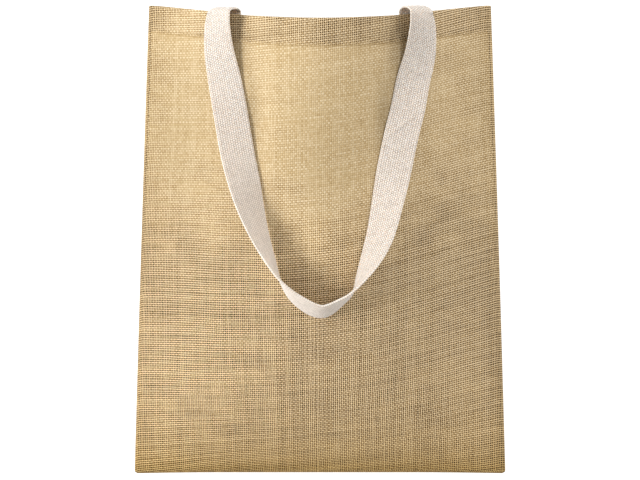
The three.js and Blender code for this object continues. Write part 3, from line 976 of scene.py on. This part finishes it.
def jute(name, tint):
    """Open plain weave of uneven jute threads, one over the other at each crossing, with pinholes between."""
    cloth = Cloth(name, roughness=0.95, sheen=0.0)
    u, down, edge = (cloth.number(name) for name in ("across", "down", "edge"))
    gaps, upright = cloth.number("openness"), cloth.number("upright")
    v = -down

    wander_u = (cloth.noise(u / 40, v / 90, 1.5) - 0.5) * 1.6 + (cloth.noise(u / 5, v / 24, 4.5) - 0.5) * 0.5
    wander_v = (cloth.noise(u / 90, v / 40, 7.5) - 0.5) * 2.0 + (cloth.noise(u / 26, v / 5, 2.5) - 0.5) * 0.5
    a = (u + wander_u) / WARP_PITCH
    b = (v - u * WEFT_SLANT + wander_v) / WEFT_PITCH
    warp, weft = a.math("FLOOR"), b.math("FLOOR")

    # slubs: each thread swells and thins along its length
    warp_slub = cloth.noise(warp * 7.3, b / 26, 0.5) * 0.6 + cloth.chance(warp, 0, 3) * 0.4
    weft_slub = cloth.noise(a / 22, weft * 5.9, 9.5) * 0.6 + cloth.chance(weft, 0, 8) * 0.4
    patches = (cloth.noise(u / 30, v / 18, 12.5, detail=4) - 0.5) * 0.8
    seam_line = 1 - (edge - HOLES_TO_EDGE).math("ABSOLUTE").ramp(0.4, 1.4)
    loose = (gaps + patches + seam_line * 0.5).clamped()
    warp_half = warp_slub * 0.2 + 0.34 - loose * 0.25
    weft_half = weft_slub * 0.2 + 0.38 - loose * 0.27

    # loose threads crowd together and leave wider gaps beside them
    warp_bend = cloth.noise(warp * 3.7, b / 14, 62.5) - 0.5
    weft_bend = cloth.noise(a / 14, weft * 3.3, 64.5) - 0.5
    warp_shift = (cloth.chance(warp, 0, 61) - 0.5) * 0.16 + warp_bend * 0.3
    weft_shift = (cloth.chance(weft, 0, 63) - 0.5) * 0.12 + weft_bend * 0.24
    at_warp = a.math("FRACT") - 0.5 + warp_shift * loose
    at_weft = b.math("FRACT") - 0.5 + weft_shift * loose

    parity = (warp + weft).math("FLOORED_MODULO", 2) * -2 + 1
    warp_body = thread_shape(at_warp, warp_half)
    weft_body = thread_shape(at_weft, weft_half)
    warp_rise = parity * (at_weft * np.pi).math("COSINE")
    weft_rise = -parity * (at_warp * np.pi).math("COSINE")
    warp_height = warp_body.math("SQRT") * (warp_rise * 0.5 + 0.5)
    weft_height = weft_body.math("SQRT") * (weft_rise * 0.5 + 0.5)
    height = warp_height.math("MAXIMUM", weft_height)
    warp_on_top = (warp_height - weft_height).ramp(-0.05, 0.05)

    # painted shade: each thread is darker at its sides and where it dips towards the next crossing, and the
    # pinholes between are near black
    warp_dip = (0.22 - upright * 0.2).clamped()
    weft_dip = (0.22 + upright * 0.3).clamped()
    warp_light = warp_body.math("POWER", 0.35) * (1 - warp_dip * (1 - warp_rise))
    weft_light = weft_body.math("POWER", 0.35) * (1 - weft_dip * (1 - weft_rise))
    hole = cloth.chance((a + 0.5).math("FLOOR"), (b + 0.5).math("FLOOR"), 70)
    light = mix(weft_light, warp_light * 0.76, warp_on_top).math("MAXIMUM", hole * hole * 0.12)

    # tone: each thread has its own, which drifts along it
    warp_tone = cloth.chance(warp, 5, 1) * 0.5 + cloth.noise(warp * 3.1, b / 18, 21.5) * 0.5
    weft_tone = cloth.chance(weft, 6, 2) * 0.5 + cloth.noise(a / 16, weft * 2.7, 33.5) * 0.5
    tone = mix(weft_tone, warp_tone, warp_on_top)
    fibre = mix(cloth.noise(u * 1.5, v * 8, 40.5), cloth.noise(u * 8, v * 1.5, 43.5), warp_on_top)
    crossing = cloth.chance(warp, weft, 50)
    tone = tone * 0.5 + fibre * 0.2 + crossing * 0.3
    hem = 1 - down.ramp(HEM_DEPTH - 1, HEM_DEPTH)
    # painted shade along the step at the lower edge of the hem
    hem_line = 1 - (down - HEM_DEPTH).math("ABSOLUTE").ramp(0.3, 1.6)
    depth = (loose * 0.85 + 0.4).clamped()
    shade = (light * depth + 1 - depth) * (tone * 0.5 + 0.72) * (loose * 0.48 + 0.91)
    shade = shade * (1 + hem * 0.02) * (1 - hem_line * 0.12)
    colours = [(place, *(tint * c for c in rgb)) for place, *rgb in JUTE_COLOURS]
    colour = cloth.colour(shade.clamped(), colours)
    colour = cloth.tinted(colour, loose, (1, 0.95, 0.93))
    # the tone number darkens the colour, and carries painted shade, painted shadow and painted light
    colour = cloth.tinted(colour, 1 - cloth.number("tone"), (0, 0, 0))
    colour = cloth.tinted(colour, cloth.number("warmth"), GOLDEN)
    return cloth.finish(colour, height, 0.0005)


def cotton_webbing(name):
    """Off-white webbing: rows of small beads in staggered order."""
    cloth = Cloth(name, roughness=0.85, sheen=0.0)
    cloth.shader.inputs["Subsurface Weight"].default_value = 0.8
    cloth.shader.inputs["Subsurface Radius"].default_value = (1, 0.9, 0.8)
    cloth.shader.inputs["Subsurface Scale"].default_value = 0.003
    w, v = cloth.number("across"), cloth.number("along")
    drift = (cloth.noise(w / 9, v / 14, 3.5) - 0.5) * 0.8
    a = w / BEAD["across"]
    column = a.math("FLOOR")
    b = (v + drift) / BEAD["along"] + column.math("FLOORED_MODULO", 2) * 0.5
    at_a, at_b = a.math("FRACT") - 0.5, b.math("FRACT") - 0.5
    body = thread_shape(at_a, 0.5).math("SQRT") * thread_shape(at_b, 0.5).math("SQRT")
    tone = cloth.chance(column, b.math("FLOOR"), 1) * 0.6 + cloth.noise(w / 6, v / 10, 5.5, detail=3) * 0.4
    # painted shade: darker between the beads
    shade = (body.ramp(0.0, 0.9) * 0.54 + 0.46) * (tone * 0.24 + 0.88)
    return cloth.finish(cloth.colour(shade.clamped(), COTTON_COLOURS), body, 0.0003)


def sewing_thread(name):
    """Natural linen thread, a little unevenly coloured."""
    cloth = Cloth(name, roughness=0.8, sheen=0.0)
    x, y, _ = cloth.place()
    twist = cloth.noise(x * 1100, y * 1100, 3.5)
    return cloth.finish(cloth.colour(twist, THREAD_COLOURS), twist, 0.0001)


# The pieces

front = panel("front_panel_cloth", front_face, front_mouth, -1)
back = panel("back_panel_cloth", back_face, back_mouth, 1)
front_loop = handle(
    "front_handle_webbing",
    FRONT_ROUTE,
    FRONT_ENDS,
    front_inner,
    -1,
    rest_on_front,
    front_mouth,
    with_creases=True,
)
back_loop = handle("back_handle_webbing", BACK_ROUTE, BACK_ENDS, back_inner, 1, rest_on_back, back_mouth)

for piece, node, slot in [
    (front, "front_panel", "jute_front"),
    (back, "back_panel", "jute_back"),
    (front_loop, "front_handle", "webbing_front"),
    (back_loop, "back_handle", "webbing_back"),
]:
    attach(piece, "root")
    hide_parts(node)

front.data.materials.append(jute("jute_of_front", 1.0))
back.data.materials.append(jute("jute_of_back", 0.97))
front_loop.data.materials.append(cotton_webbing("webbing_of_front"))
back_loop.data.materials.append(cotton_webbing("webbing_of_back"))

front_thread = thread(
    "front_stitches",
    [hem_line(front_face, front_mouth, -1), end_boxes(FRONT_ENDS, front_inner, -1, front_mouth)],
)
back_thread = thread(
    "back_stitches",
    [hem_line(back_face, back_mouth, 1), end_boxes(BACK_ENDS, back_inner, 1, back_mouth)],
)
for piece, slot in [(front_thread, "jute_front"), (back_thread, "jute_back")]:
    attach(piece, "root")
    piece.data.materials.append(sewing_thread(piece.name + "_thread"))

# Floor, light and camera

FLOOR_SIZE = 6.0
FLOOR_DROP = 0.0002
LOOK_DOWN_HEIGHT = 1.846
LENS = 112.4


def pale_floor():
    bpy.ops.mesh.primitive_plane_add(size=FLOOR_SIZE, location=(0, 0, -FLOOR_DROP))
    plane = bpy.context.object
    plane.name = "floor"
    material = bpy.data.materials.new("pale_floor")
    material.use_nodes = True
    shader = material.node_tree.nodes["Principled BSDF"]
    shader.inputs["Base Color"].default_value = (0.45, 0.45, 0.45, 1)
    shader.inputs["Roughness"].default_value = 1.0
    shader.inputs["Emission Color"].default_value = (1, 1, 1, 1)
    shader.inputs["Emission Strength"].default_value = 0.8
    plane.data.materials.append(material)
    return plane


def soft_light(name, place, size, power, colour=(1, 1, 1)):
    """A square area light that faces the middle of the bag."""
    data = bpy.data.lights.new(name, "AREA")
    data.size = size
    data.energy = power
    data.color = colour
    lamp = bpy.data.objects.new(name, data)
    lamp.location = place
    lamp.rotation_euler = (Vector((0, 0, 0.05)) - Vector(place)).to_track_quat("-Z", "Y").to_euler()
    bpy.context.scene.collection.objects.link(lamp)


floor = pale_floor()
soft_light("left_light", (-2.16, 0, 1.3), 0.8, 56)
soft_light("back_right_light", (1.53, 1.53, 1.3), 1.2, 24.5)

world = bpy.data.worlds.new("soft_surround")
world.use_nodes = True
world.node_tree.nodes["Background"].inputs["Color"].default_value = (1, 1, 1, 1)
world.node_tree.nodes["Background"].inputs["Strength"].default_value = 0.72
bpy.context.scene.world = world
bpy.context.scene.view_settings.view_transform = "Standard"

camera_data = bpy.data.cameras.new("camera")
camera_data.lens = LENS
camera_data.clip_start = 0.05
camera = bpy.data.objects.new("camera", camera_data)
camera.location = (0, 0.0004, LOOK_DOWN_HEIGHT)
bpy.context.scene.collection.objects.link(camera)
bpy.context.scene.camera = camera
